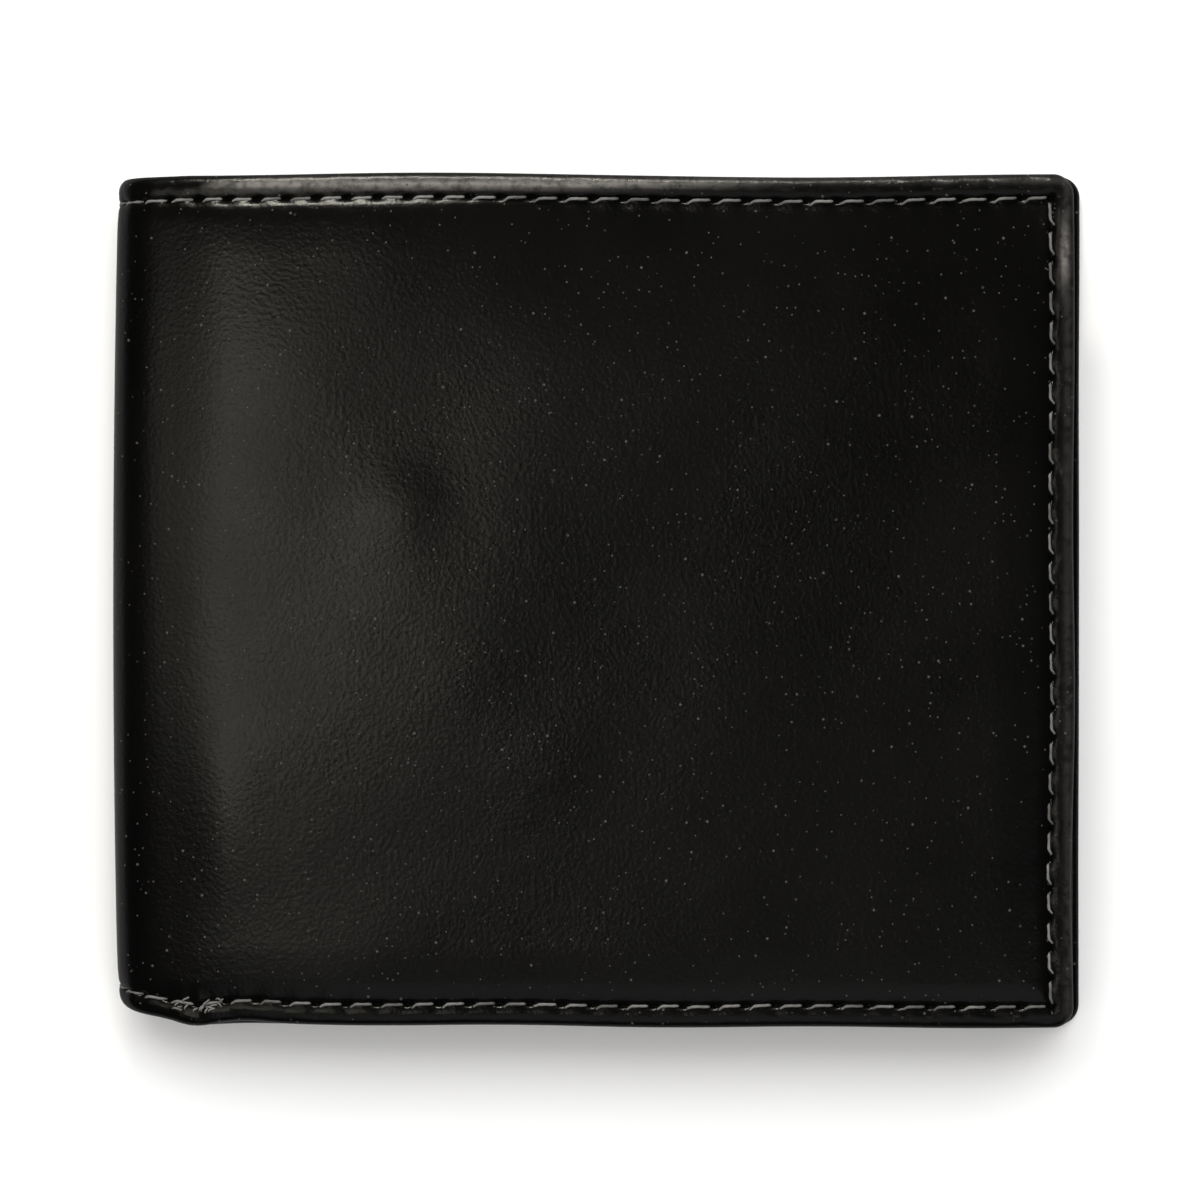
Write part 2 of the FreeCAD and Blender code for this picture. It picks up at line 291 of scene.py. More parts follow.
def rounded_corner(from_side, from_end, radius):
    """Moves points near a square corner to a round one; returns both distances and that to the edge."""
    across = np.clip(radius - from_side, 0, radius)
    along = np.clip(radius - from_end, 0, radius)
    new_across = across * np.sqrt(1 - along ** 2 / (2 * radius ** 2))
    new_along = along * np.sqrt(1 - across ** 2 / (2 * radius ** 2))
    inside = (across > 0) & (along > 0)
    side = np.where(inside, radius - new_across, from_side)
    end = np.where(inside, radius - new_along, from_end)
    edge = np.where(inside, radius - np.hypot(new_across, new_along), np.minimum(from_side, from_end))
    return side, end, edge


# ---------------------------------------------------------------- materials

class Nodes:
    """Short forms for building a material's node tree."""

    def __init__(self, name):
        self.material = bpy.data.materials.new(name)
        self.material.use_nodes = True
        self.tree = self.material.node_tree
        self.shader = self.tree.nodes["Principled BSDF"]
        self.place = self.add("ShaderNodeTexCoord").outputs["Object"]

    def add(self, kind, inputs=(), **settings):
        """Adds a node, with each of its inputs set to a value or linked to a socket."""
        node = self.tree.nodes.new(kind)
        for key, setting in settings.items():
            setattr(node, key, setting)
        for key, setting in dict(inputs).items():
            if isinstance(setting, bpy.types.NodeSocket):
                self.tree.links.new(setting, node.inputs[key])
            else:
                node.inputs[key].default_value = setting
        return node

    def noise(self, scale, detail=3.0, rough=0.5, distortion=0.0):
        """The level of a noise texture."""
        inputs = {"Vector": self.place, "Scale": scale, "Detail": detail,
                  "Roughness": rough, "Distortion": distortion}
        return self.add("ShaderNodeTexNoise", inputs).outputs["Fac"]

    def cells(self, scale, output="Distance", place=None, **settings):
        """One output of a Voronoi texture."""
        inputs = {"Vector": place or self.place, "Scale": scale}
        return self.add("ShaderNodeTexVoronoi", inputs, **settings).outputs[output]

    def spread(self, value, low, high, to_low=0.0, to_high=1.0):
        """Takes a value smoothly from one range to another, and holds it beyond their ends."""
        inputs = {"Value": value, "From Min": low, "From Max": high,
                  "To Min": to_low, "To Max": to_high}
        node = self.add("ShaderNodeMapRange", inputs, interpolation_type="SMOOTHSTEP")
        return node.outputs["Result"]

    def maths(self, operation, first, second):
        """One operation on two numbers."""
        return self.add("ShaderNodeMath", {0: first, 1: second}, operation=operation).outputs["Value"]

    def mix(self, factor, first, second):
        """A colour between two, where the factor is the second one's share."""
        node = self.add("ShaderNodeMix", data_type="RGBA")
        for number, setting in ((0, factor), (6, first), (7, second)):
            socket = node.inputs[number]
            if isinstance(setting, bpy.types.NodeSocket):
                self.tree.links.new(setting, socket)
            else:
                socket.default_value = setting
        return node.outputs[2]

    def bump(self, height, distance, strength=1.0, normal=None):
        """Normals that follow a height, added to the given ones."""
        inputs = {"Height": height, "Distance": distance, "Strength": strength}
        if normal:
            inputs["Normal"] = normal
        return self.add("ShaderNodeBump", inputs).outputs["Normal"]

    def finish(self, **sockets):
        """Sets or links the shader's sockets; a name's underscores stand for spaces."""
        for key, setting in sockets.items():
            socket = self.shader.inputs[key.replace("_", " ")]
            if isinstance(setting, bpy.types.NodeSocket):
                self.tree.links.new(setting, socket)
            else:
                socket.default_value = setting
        return self.material


def grey(level, warmth=0.0):
    """A grey of the given linear level, with more red and less blue where it is warm."""
    return (level * (1 + warmth), level, level * (1 - warmth), 1.0)


def leather(name, level, rough, crease, dust):
    """Black dyed grain leather: pebbles, fine creases, handling polish, specks of dust, and a lighter
    turned edge that is partly rubbing from handling and partly a painted highlight.
    """
    nodes = Nodes(name)
    patches = nodes.noise(45, 3, 0.5)
    pebbles = nodes.cells(2300, feature="SMOOTH_F1")
    pores = nodes.noise(4200, 3, 0.6)
    creases = nodes.noise(520, 4, 0.6, distortion=0.6)
    ridges = nodes.maths("ABSOLUTE", nodes.maths("SUBTRACT", creases, 0.5), 0.0)
    where = nodes.spread(nodes.noise(26, 2), 0.45, 0.7)
    folds = nodes.maths("MULTIPLY", nodes.spread(ridges, 0.0, 0.09), where)
    normal = nodes.bump(folds, 0.000012, crease)
    normal = nodes.bump(pebbles, 0.00005, 0.42, normal)
    normal = nodes.bump(pores, 0.00003, 0.4, normal)
    flattening = {"Vector": nodes.place, "Scale": (1, 1, 0.1)}
    flattened = nodes.add("ShaderNodeMapping", flattening).outputs["Vector"]
    speck = 0.0
    for scale, size, share in ((1100, 0.14, 0.3), (620, 0.12, 0.4)):
        spot = nodes.spread(nodes.cells(scale, place=flattened), size, size * 0.45)
        chosen = nodes.spread(nodes.cells(scale, "Color", flattened), share, share + 0.3)
        speck = nodes.maths("MAXIMUM", speck, nodes.maths("MULTIPLY", spot, chosen))
    speck = nodes.maths("MULTIPLY", speck, dust)
    shade = nodes.mix(nodes.spread(patches, 0.35, 0.65), grey(level, 0.08), grey(level * 1.3, 0.1))
    # Painted highlight: where the mesh marks it, the turned edge is mixed towards a pale grey, partly
    # as rubbing from handling and partly as a painted highlight.
    rub_and_highlight_mask = nodes.add("ShaderNodeAttribute", attribute_name="rub_and_painted_highlight").outputs["Fac"]
    rubbed_and_highlit = nodes.maths("MULTIPLY", rub_and_highlight_mask, nodes.spread(nodes.noise(900, 4, 0.65), 0.3, 0.6, 0.35, 1.0))
    shade = nodes.mix(rubbed_and_highlit, shade, grey(0.15, 0.07))
    colour = nodes.mix(speck, shade, grey(0.05, 0.05))
    roughness = nodes.spread(patches, 0.3, 0.7, rough - 0.02, rough + 0.03)
    roughness = nodes.maths("ADD", roughness, nodes.maths("MULTIPLY", speck, 0.3))
    return nodes.finish(Base_Color=colour, Roughness=roughness, Normal=normal,
                        Specular_IOR_Level=0.5, IOR=1.47)


def cloth(name, level, threads=1500):
    """Matt plain weave, with the threads crossing along X and Y."""
    nodes = Nodes(name)
    bands = {"Vector": nodes.place, "Scale": threads / 6, "Distortion": 0.6}
    weft = nodes.add("ShaderNodeTexWave", bands, bands_direction="X").outputs["Fac"]
    warp = nodes.add("ShaderNodeTexWave", bands, bands_direction="Y").outputs["Fac"]
    weave = nodes.maths("MAXIMUM", weft, warp)
    fuzz = nodes.noise(4200, 3)
    colour = nodes.mix(weave, grey(level * 0.5), grey(level * 1.3))
    normal = nodes.bump(weave, 0.00008, 0.8)
    normal = nodes.bump(fuzz, 0.00003, 0.5, normal)
    roughness = nodes.spread(fuzz, 0.3, 0.7, 0.72, 0.9)
    return nodes.finish(Base_Color=colour, Roughness=roughness, Normal=normal, Sheen_Weight=0.15,
                        Specular_IOR_Level=0.3)


def bonded_thread(name, level):
    """Twisted thread, a little lighter than the leather, with pale flecks on its raised fibres that are
    a painted highlight.
    """
    nodes = Nodes(name)
    fibres = nodes.noise(6500, 4, 0.6)
    patches = nodes.noise(160, 2)
    uneven = nodes.spread(patches, 0.35, 0.65)
    colour = nodes.mix(uneven, grey(level * 0.7, 0.04), grey(level * 1.5, 0.04))
    # Painted highlight: pale flecks on the fibres' raised tops, where the bump is highest.
    colour = nodes.mix(nodes.spread(fibres, 0.62, 0.75), colour, grey(level * 2.6, 0.03))
    return nodes.finish(Base_Color=colour, Roughness=nodes.spread(fibres, 0.3, 0.7, 0.5, 0.75),
                        Normal=nodes.bump(fibres, 0.00004, 0.8), Specular_IOR_Level=0.45)


def fibreboard(name):
    """Pale pressed board."""
    nodes = Nodes(name)
    fibres = nodes.noise(900, 6, 0.7)
    colour = nodes.mix(fibres, (0.2, 0.17, 0.13, 1), (0.42, 0.38, 0.31, 1))
    return nodes.finish(Base_Color=colour, Roughness=nodes.spread(fibres, 0.3, 0.7, 0.8, 0.95),
                        Normal=nodes.bump(fibres, 0.0001, 0.5))


def paper(name):
    """Plain pale floor."""
    nodes = Nodes(name)
    mottle = nodes.noise(30, 3)
    colour = nodes.mix(mottle, (0.93, 0.93, 0.93, 1), (0.95, 0.95, 0.95, 1))
    return nodes.finish(Base_Color=colour, Roughness=0.9, Specular_IOR_Level=0.0)


COVER_LEATHER = leather("cover_leather", 0.0009, 0.27, 0.12, 1.0)
INNER_LEATHER = leather("inner_leather", 0.0055, 0.42, 0.12, 0.3)
LINING_CLOTH = cloth("lining_cloth", 0.010)
THREAD_STUFF = bonded_thread("sewing_thread", 0.10)
BOARD = fibreboard("stiffener_board")


# ---------------------------------------------------------------- stage

def make_camera():
    """Looks straight down on the closed wallet from far above, with the fold on the left."""
    data = bpy.data.cameras.new("camera")
    camera = bpy.data.objects.new("camera", data)
    bpy.context.scene.collection.objects.link(camera)
    bpy.context.scene.camera = camera
    distance = 1.3
    view_width = (BOX_HIGH.x - BOX_LOW.x) * MM * 1.245
    data.sensor_width = 36
    data.lens = data.sensor_width * distance / view_width
    data.clip_start = 0.05
    data.clip_end = 20
    camera.location = (0.0003, 0.0001, distance)
    bpy.context.scene.view_settings.view_transform = "Standard"


def area_light(name, place, aim, size, power, colour=WHITE):
    """A rectangular light at a place, turned towards another; sizes in metres and power in watts."""
    data = bpy.data.lights.new(name, "AREA")
    data.shape = "RECTANGLE"
    data.size, data.size_y = size
    data.energy = power
    data.color = colour
    light = bpy.data.objects.new(name, data)
    light.location = place
    light.rotation_euler = (Vector(aim) - Vector(place)).to_track_quat("-Z", "Y").to_euler()
    bpy.context.scene.collection.objects.link(light)
    return light


def make_lights():
    """Broad light on the floor, and soft boxes that the leather mirrors faintly."""
    floor_key = area_light("floor_key", (0.05, 0.52, 0.9), (0, 0, 0), (1.4, 0.8), 10.5)
    floor_key.visible_glossy = False
    area_light("fold_far", (-0.24, 0.02, 0.9), (-0.03, 0, 0), (0.09, 0.3), 0.22, WARM)
    area_light("fold_near", (-0.105, 0.01, 0.20), (-0.03, 0, 0), (0.05, 0.16), 0.017, WARM)
    area_light("foot_box", (0.06, -0.2, 0.32), (0.02, 0, 0), (0.35, 0.25), 0.07)
    area_light("head_strip", (-0.06, 0.45, 0.29), (-0.03, 0.04, 0), (0.12, 0.06), 0.9, WARM)


def make_world():
    """Even white light on matt surfaces; what gloss mirrors is dark above and pale below."""
    world = bpy.data.worlds.new("studio")
    bpy.context.scene.world = world
    world.use_nodes = True
    tree = world.node_tree
    background = tree.nodes["Background"]
    background.inputs["Color"].default_value = (1.0, 0.99, 0.98, 1)
    rays = tree.nodes.new("ShaderNodeLightPath")
    direction = tree.nodes.new("ShaderNodeTexCoord")
    height = tree.nodes.new("ShaderNodeSeparateXYZ")
    mirrored = tree.nodes.new("ShaderNodeMapRange")
    fade = {"From Min": -0.1, "From Max": 0.05, "To Min": 0.30, "To Max": 0.006}
    for socket, setting in fade.items():
        mirrored.inputs[socket].default_value = setting
    strength = tree.nodes.new("ShaderNodeMapRange")
    strength.inputs["To Min"].default_value = 0.66
    for source, target in (
        (direction.outputs["Generated"], height.inputs["Vector"]),
        (height.outputs["Z"], mirrored.inputs["Value"]),
        (mirrored.outputs["Result"], strength.inputs["To Max"]),
        (rays.outputs["Is Glossy Ray"], strength.inputs["Value"]),
        (strength.outputs["Result"], background.inputs["Strength"]),
    ):
        tree.links.new(source, target)


def make_floor():
    """A plain pale floor, a hair below the wallet, whose mirror image the gloss doesn't show."""
    size, level = 3000, -0.05
    corners = [(-size, -size, level), (size, -size, level), (size, size, level), (-size, size, level)]
    floor = new_object("floor", corners, [(0, 1, 2, 3)], paper("floor_paper"))
    floor.visible_glossy = False


# ---------------------------------------------------------------- cover

def pitch_steps(holes, low, high, parts):
    """Grid lines at the given parts of the stitch pitch from each needle hole."""
    lines = [low, high]
    for hole in holes:
        for part in parts:
            value = hole + part * PITCH
            if low < value < high:
                lines.append(value)
    return lines


def cover_runs(leaf):
    """Runs of a leaf's grid lines, from the joint with the fold's middle strip out to its edge."""
    end = SEAM_RUN[leaf] + SEAM["side"]
    lines = [QUARTER, QUARTER + 0.03] + spaced(QUARTER + 0.25, FLAT, 0.25)
    lines += pitch_steps(seam_holes(leaf), FLAT + 0.2, SEAM_RUN[leaf] - 0.75, ROW_PARTS)
    lines += [SEAM_RUN[leaf] + part for part in (-0.5, -0.3, -0.15, 0, 0.15, 0.3, 0.5, 0.75, 1.0)]
    lines += [end - distance for distance in rounded(BEAD)]
    return in_order(lines)


def cover_rises():
    """Rises of the cover's grid lines, the same for all its pieces."""
    holes = [SEAM_FOOT + number * SIDE_PITCH for number in range(SIDE_PITCHES + 1)]
    lines = pitch_steps(holes, SEAM_FOOT + 0.75, SEAM_HEAD - 0.75, SIDE_PARTS)
    for row in (SEAM_FOOT, SEAM_HEAD):
        lines += [row + part for part in (-0.9, -0.7, -0.5, -0.3, -0.15, 0, 0.15, 0.3, 0.5, 0.7)]
    for distance in rounded(BEAD):
        lines += [distance - HALF, HALF - distance]
    return in_order(lines)


def lumps(run, rise):
    """Low swellings and hollows of the front cover, in millimetres."""
    x = run - FLAT + FOLD_X
    past_cards = 2.5 * np.log1p(np.exp((rise - 29.0) / 2.5))
    height = 0.45 - 0.075 * past_cards * smooth(x, -26.0, 4.0)
    for tall, middle, wide, middle_rise, high in (
        (0.22, -21.5, 4.5, 10.5, 4.5),
        (0.16, -41.0, 4.0, -25.0, 9.0),
        (0.14, -4.0, 8.0, -17.5, 7.0),
    ):
        height = height + tall * bell(x - middle, wide) * bell(rise - middle_rise, high)
    for tall, length, seed in ((0.06, 34, 3), (0.012, 13, 4), (0.002, 5, 6)):
        height = height + tall * ripple(x, rise, length, seed)
    return height


def seam_relief(run, rise, leaf):
    """Depth of the dent along the stitches, of the needle holes and of the puckers between them."""
    head = rise - SEAM_HEAD
    foot = rise - SEAM_FOOT
    side = SEAM_RUN[leaf] - run
    past_side = np.maximum(-side, 0)
    past_rows = np.maximum(np.maximum(head, -foot), 0)
    first = seam_holes(leaf)[-1]
    row_phase = (run - first + PITCH / 2) % PITCH - PITCH / 2
    side_phase = (foot + SIDE_PITCH / 2) % SIDE_PITCH - SIDE_PITCH / 2
    total = np.zeros(np.broadcast(run, rise).shape)
    for distance, aside, phase, pitch in (
        (np.hypot(head, past_side), head - PIT_SHIFT, row_phase, PITCH),
        (np.hypot(foot, past_side), foot - PIT_SHIFT, row_phase, PITCH),
        (np.hypot(side, past_rows), side + PIT_SHIFT, side_phase, SIDE_PITCH),
    ):
        dent = 0.16 * bell(distance, 0.45) + 0.14 * bell(distance, 1.4)
        pit = 0.55 * bell(aside, 0.24) * bell(phase, 0.5) * bell(distance, 1.0)
        pucker = 0.045 * np.cos(math.tau * phase / pitch) * bell(distance, 1.5)
        total = np.maximum(total, dent + pit + pucker)
    return total


def bead_wrinkles(run, rise, edge, seed):
    """Crinkles of the turned edge, strongest towards the open corners."""
    x = np.abs(run) - FLAT + FOLD_X
    band = bell(edge - 1.1, 1.1)
    corner = 0.35 + 0.65 * smooth(x, 15.0, 52.0)
    fine = ripple(run, rise, 1.5, seed) * 0.035
    coarse = ripple(run, rise, 4.5, seed + 1) * 0.05
    return band * corner * (fine + coarse)


def crumple(run, rise):
    """Puckered leather round the back-tack."""
    near = bell(run - TACK_RUN, 2.4) * bell(rise - SEAM_FOOT, 1.5)
    return near * (0.09 * ripple(run, rise, 1.9, 35) - 0.1)


def outline_shift(run, rise, leaf):
    """How the cut edge wanders from a straight line: moves along the width and the height."""
    seed = 11 if leaf == "front" else 21
    x = np.abs(run) - FLAT + FOLD_X
    head = -0.16 - 0.28 * bell(x - 8.0, 18.0) + 0.10 * ripple(x, 0 * x, 40, seed)
    foot = 0.62 - 0.5 * smooth(x, -45.0, 45.0) + 0.10 * ripple(x, 0 * x, 30, seed + 1)
    foot = foot - 0.45 * bell(x + 45.0, 2.6) + 0.2 * bell(x + 39.0, 3.0)
    side = -0.10 - 0.25 * smooth(rise, 10.0, -40.0) + 0.08 * ripple(rise, 0 * rise, 35, seed + 2)
    if leaf == "back":
        head, foot, side = 0.35 * head, 0.35 * foot, 0.4 * side
    share = smooth(np.abs(run), 0, FLAT)
    up = head * smooth(rise, HALF - 16, HALF) + foot * smooth(rise, 16 - HALF, -HALF)
    return side * smooth(x, 40.0, 54.0), up * share


def cover_sheet(name, run_line, leaf):
    """One piece of the cover; leaf says which side of the fold its runs count towards.

    Near the corners the grid bends with the outline, so run and rise are worked out again there.
    """
    run, rise = np.meshgrid(run_line, cover_rises(), indexing="ij")
    end = SEAM_RUN[leaf] + SEAM["side"]
    from_side, from_head, from_foot = end - run, HALF - rise, HALF + rise
    side, head, edge = rounded_corner(from_side, from_head, CORNER)
    side_low, foot, edge_low = rounded_corner(from_side, from_foot, CORNER)
    run = end - np.where(rise > 0, side, side_low)
    rise = np.where(rise > 0, HALF - head, foot - HALF)
    edge = np.minimum(edge, edge_low)
    half_lip = LIP_DEPTH / 2
    roll = round_over(edge, BEAD, half_lip)
    relief = seam_relief(run, rise, leaf)
    wrinkle = bead_wrinkles(run, rise, edge, 31 if leaf == "front" else 41)
    if leaf == "front":
        swell = 0.22 * smooth(edge, 2.2, 9.0) + lumps(run, rise) * smooth(edge, 1.4, 4.5)
        swell = swell * smooth(run, FLAT * 0.4, FLAT + 6)
        lift = (swell + wrinkle + crumple(run, rise)) * smooth(edge, 0.0, 0.9)
    else:
        lift = np.minimum(wrinkle * smooth(edge, 0.0, 0.9), 0.02)
    outer = roll + relief * smooth(edge, 0.15, 1.2) + 0.05 - lift
    lip = 1 - smooth(edge, LIP_WIDTH - 0.3, LIP_WIDTH + 0.1)
    inner = HIDE + (LIP_DEPTH - HIDE) * lip - round_over(edge, BEAD, half_lip)
    inner = inner - 0.02 * lip * (1 + ripple(run, rise, 3.0, 51)) * smooth(edge, 0.3, 1.5)
    inner = np.maximum(inner, outer)
    across, up = outline_shift(run, rise, leaf)
    sign = -1 if leaf == "back" else 1

    def place(along, height, depth):
        points = fold_place(sign * along, height + up, depth)
        points[..., 0] += across
        return points

    piece = closed_sheet(name, run, rise, outer, inner, place, COVER_LEATHER)
    add_rub_and_painted_highlight(piece)
    return piece


def add_rub_and_painted_highlight(piece):
    """Marks where the turned edge is lightened, partly by rubbing from handling and partly as a painted
    highlight: most along the head near the fold.
    """
    points = np.array([vertex.co for vertex in piece.data.vertices]) / MM
    x, y, z = points.T
    # The band along the head near the fold and the spot high on the open side are painted highlight,
    # only on the side that faces up; the faint lines along both edges are rubbing.
    band = bell(y - HALF + 1.3, 0.42) * smooth(x, -49.0, -44.0) * smooth(x, 24.0, -6.0)
    side = bell(x - EDGE["front"] + 1.2, 0.4) * bell(y - 38.5, 3.0)
    faint = 0.12 * (bell(y - HALF + 0.8, 0.5) + bell(x - EDGE["front"] + 0.8, 0.5))
    rub_and_painted_highlight = np.clip(band + side + faint, 0, 1) * smooth(z, THICK - 1.4, THICK - 0.8)
    attribute = piece.data.attributes.new("rub_and_painted_highlight", "FLOAT", "POINT")
    attribute.data.foreach_set("value", rub_and_painted_highlight.astype(np.float32))


def make_cover():
    """The cover in four pieces, each lying across one hinge."""
    middle = in_order([0.0, 0.03] + spaced(0.25, QUARTER - 0.25, 0.25) + [QUARTER - 0.03, QUARTER])
    stands_for = (["cover_back"], ["cover_fold_lower"], ["cover_fold_middle", "cover_fold_upper"],
                  ["cover_front"])
    for number, ((place, leaf, start), nodes) in enumerate(zip(WRAPPED, stands_for)):
        piece = cover_sheet(f"cover_{place}", cover_runs(leaf) if start else middle, leaf)
        bend(piece, number)
        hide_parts(*nodes)


def bend(piece, number):
    """Bakes a piece's transform into its mesh. The ends of its eighth of a turn of the fold, across one
    of the four hinges, are worked out but not used; nothing blends the piece.
    """
    start, end = (fold_place(np.array(QUARTER * (number - 2 + step)), np.array(0.0), np.array(0.0))
                  for step in (0, 1))
    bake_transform(piece)


# ---------------------------------------------------------------- thread

def stitch_points(start, end, normal, slant, lift=0.13, radius=THREAD):
    """Rings of one stitch between two needle holes: a bowed, twisted three-ply thread.

    Its first end comes up out of its hole at a slant, and then it lies straight to the next hole.
    """
    along = end - start
    length = np.linalg.norm(along)
    along = along / length
    across = np.cross(normal, along)
    rings, sides = 16, 12
    part = np.linspace(0.0, 1.0, rings)[:, None]
    bow = lift * np.sin(math.pi * part) ** 0.5 - 0.45 * np.abs(2 * part - 1) ** 7
    sway = 2.1 * smooth(part, 0.02, 0.3) + 0.35 * part - 1.9
    centre = start + along * (0.08 + 0.8 * part) * length + normal * bow + across * slant * sway
    turn = np.linspace(0, math.tau, sides, endpoint=False)[None, :]
    ply = 1 + 0.16 * np.cos(3 * turn + 13.0 * part)
    size = radius * ply * (1 - 0.3 * np.abs(2 * part - 1) ** 6)
    ring = across[None, None, :] * (size * np.cos(turn))[..., None]
    ring = ring + normal[None, None, :] * (size * np.sin(turn) * 0.9)[..., None]
    return centre[:, None, :] + ring


def thread_mesh(name, stitches):
    """One object from all the stitches of a row, each a closed tube."""
    points, faces, start = [], [], 0
    for rings in stitches:
        count, sides = rings.shape[:2]
        points.append(rings.reshape(-1, 3))
        for ring in range(count - 1):
            for side in range(sides):
                following = (side + 1) % sides
                low = start + ring * sides
                faces.append((low + side, low + following, low + sides + following, low + sides + side))
        faces.append(tuple(start + side for side in range(sides))[::-1])
        faces.append(tuple(start + (count - 1) * sides + side for side in range(sides)))
        start += count * sides
    return new_object(name, np.concatenate(points), faces, THREAD_STUFF, sharp=80)


def surface_frame(run, rise, leaf, depth):
    """A point on the cover and the outward normal there."""
    sign = -1 if leaf == "back" else 1
    across, up = outline_shift(np.array(run), np.array(rise), leaf)
    here = fold_place(np.array(sign * run), np.array(rise + up), np.array(depth))
    out = fold_place(np.array(sign * run), np.array(rise + up), np.array(depth - 1.0))
    here[0] += across
    out[0] += across
    return here, out - here


def seam_row(leaf, row, low, high):
    """Stitches along the head or foot of one leaf, between two runs."""
    rise = SEAM_HEAD if row == "head" else SEAM_FOOT
    random = np.random.default_rng(61 if row == "head" else 62)
    stitches = []
    holes = sorted(seam_holes(leaf))
    for first, second in zip(holes, holes[1:]):
        wander = random.normal(0, 0.035, 3)
        if not low <= (first + second) / 2 < high:
            continue
        start, normal = surface_frame(first, rise + wander[0], leaf, STITCH_SINK)
        end, _ = surface_frame(second, rise + wander[1], leaf, STITCH_SINK)
        slant = (0.17 + wander[2]) * (1 if leaf == "front" else -1)
        stitches.append(stitch_points(start, end, normal, slant))
    return stitches


def seam_side(leaf):
    """Stitches along the open edge of one leaf."""
    run = SEAM_RUN[leaf]
    random = np.random.default_rng(63)
    stitches = []
    for number in range(SIDE_PITCHES):
        wander = random.normal(0, 0.035, 3)
        low = SEAM_FOOT + number * SIDE_PITCH
        start, normal = surface_frame(run + wander[0], low, leaf, STITCH_SINK)
        end, _ = surface_frame(run + wander[1], low + SIDE_PITCH, leaf, STITCH_SINK)
        stitches.append(stitch_points(start, end, normal, 0.17 + wander[2]))
    return stitches


def back_tack():
    """Short crossed stitches where the seam's ends meet, at the foot of the front near the fold."""
    random = np.random.default_rng(64)
    stitches = []
    for _ in range(TACK_STITCHES):
        run = TACK_RUN + random.uniform(-2.6, 2.8)
        rise = SEAM_FOOT + random.normal(-0.2, 0.3)
        turn = random.uniform(-1.1, 1.1)
        reach = random.uniform(0.45, 0.85)
        step = np.array([math.cos(turn), math.sin(turn)]) * reach
        start, normal = surface_frame(run - step[0], rise - step[1], "front", 0.22)
        end, _ = surface_frame(run + step[0], rise + step[1], "front", 0.22)
        lift = random.uniform(0.15, 0.35)
        stitches.append(stitch_points(start, end, normal, 0.08, lift, radius=0.1))
    return stitches


def make_seam():
    """The outer seam, in four pieces that match the cover's."""
    for number, (place, leaf, low) in enumerate(WRAPPED):
        high = math.inf if low else QUARTER
        stitches = seam_row(leaf, "head", low, high) + seam_row(leaf, "foot", low, high)
        if low:
            stitches += seam_side(leaf)
        if place == "front_leaf":
            stitches += back_tack()
        piece = thread_mesh(f"seam_{place}", stitches)
        bend(piece, number)
        if low:
            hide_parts(f"stitches_{leaf}")


def seam_line(holes, place, seed, slant):
    """Stitches on the inner side, through a line of holes given by run, rise and depth."""
    random = np.random.default_rng(seed)
    stitches = []
    for first, second in zip(holes, holes[1:]):
        wander = random.normal(0, 0.035, 3)
        start, end = place(*first), place(*second)
        normal = place(first[0], first[1], first[2] + 1.0) - start
        normal = normal / np.linalg.norm(normal)
        aside = np.cross(normal, end - start) / np.linalg.norm(end - start)
        start, end = start + aside * wander[0], end + aside * wander[1]
        stitches.append(stitch_points(start, end, normal, slant + wander[2]))
    return stitches


def stack_depth(rise):
    """Depth of the inner face that shows on a leaf's card side at a height."""
    for layer in ("card_facing_lower", "card_facing_middle", "card_facing_top", "top_band",
                  "bill_wall"):
        corner = corner_mm(f"{layer}_back", 1)
        if rise < corner.y:
            break
    return corner.z


def inner_seam_lines(leaf, low, high):
    """Lines of holes that show on the card side of one leaf, between two runs."""
    wall = WALL_DEPTH - INNER_SINK
    holes = [hole for hole in sorted(seam_holes(leaf)) if low - PITCH <= hole < high + PITCH / 2]
    lines = [[(hole, HEM_RISE, wall) for hole in holes]]
    if low < QUARTER:
        lines.append([(hole, SEAM_FOOT, wall) for hole in holes])
        return lines
    lines.append([(hole, SEAM_FOOT, wall) for hole in holes if hole < SPINE_SEAM - 1.5])
    stack_holes = [hole for hole in holes if hole > SPINE_SEAM - 0.3]
    lines.append([(hole, SEAM_FOOT, STACK_DEPTH - INNER_SINK) for hole in stack_holes])
    rises = [SEAM_FOOT + number * SIDE_PITCH for number in range(SIDE_PITCHES + 1)]
    rises = [rise for rise in rises if rise < HEM_RISE]
    for run in (SPINE_SEAM, SEAM_RUN[leaf]):
        lines.append([(run, rise, stack_depth(rise) - INNER_SINK) for rise in rises])
    return lines


def make_inner_seam():
    """Stitches that show when the wallet is open, in four pieces like the rest."""
    for number, (place, leaf, low) in enumerate(WRAPPED):
        high = math.inf if low else QUARTER
        sign = -1 if leaf == "back" else 1
        stitches = []
        for seed, line in enumerate(inner_seam_lines(leaf, low, high), 71):
            signed = [tuple(np.array(value) for value in (sign * run, rise, depth))
                      for run, rise, depth in line]
            middles = [abs(first[0] + second[0]) / 2 for first, second in zip(line, line[1:])]
            made = seam_line(signed, fold_place, seed, slant=0.17 * sign)
            stitches += [stitch for stitch, run in zip(made, middles) if low <= run < high]
        piece = thread_mesh(f"inner_seam_{place}", stitches)
        bend(piece, number)


# ---------------------------------------------------------------- inner layers

def wrapped_sheet(name, leaf, runs, rises, outer, inner, material, roll):
    """One piece of a layer that follows the cover round the fold; outer and inner give depths."""
    low, high = rises
    run, rise = np.meshgrid(runs, axis_points(low, high, 1.2, roll), indexing="ij")
    edge = np.minimum(rise - low, high - rise)
    if runs[-1] > FLAT:
        edge = np.minimum(edge, runs[-1] - run)
    sign = -1 if leaf == "back" else 1
    near, far = outer(sign * run, rise), inner(sign * run, rise)
    drop = round_over(edge, roll, 0.5) * (far - near)
    return closed_sheet(name, sign * run, rise, near + drop, far - drop, fold_place, material)


